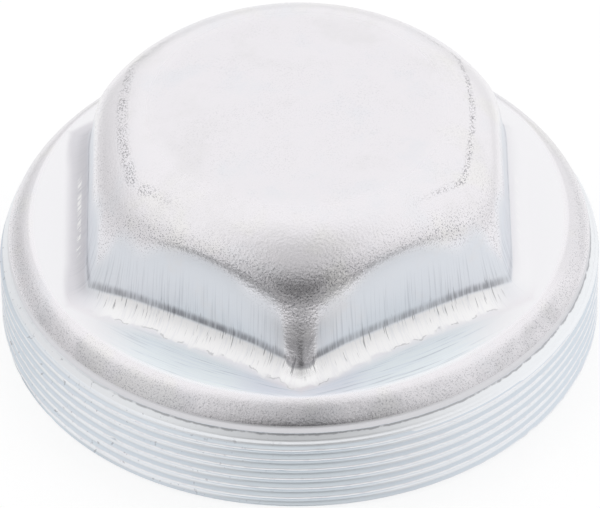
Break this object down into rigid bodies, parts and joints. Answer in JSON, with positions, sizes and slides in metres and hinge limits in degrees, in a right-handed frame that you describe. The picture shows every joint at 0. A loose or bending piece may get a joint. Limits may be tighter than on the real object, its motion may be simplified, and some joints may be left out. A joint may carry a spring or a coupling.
{
  "type": "hub grease cap",
  "caption": "Drawn steel cap that screws into a wheel hub to close its bearing chamber: threaded skirt, turned neck, rounded shoulder, domed hexagon for a wrench, hollow underneath.",
  "frame": {"origin": "centre of the open rim, in the plane that the cap stands on", "axes": "+Z along the thread's axis, from the open rim to the top of the dome; one corner of the hexagon points along -Y and two flats face +X and -X"},
  "size_m": [0.096, 0.096, 0.0445],
  "materials": {
    "plated_steel": "bright zinc plating, satin, with a granular drawn skin"
  },
  "bodies": {
    "root": {"grease_cap": "plated_steel"}
  },
  "joints": []
}
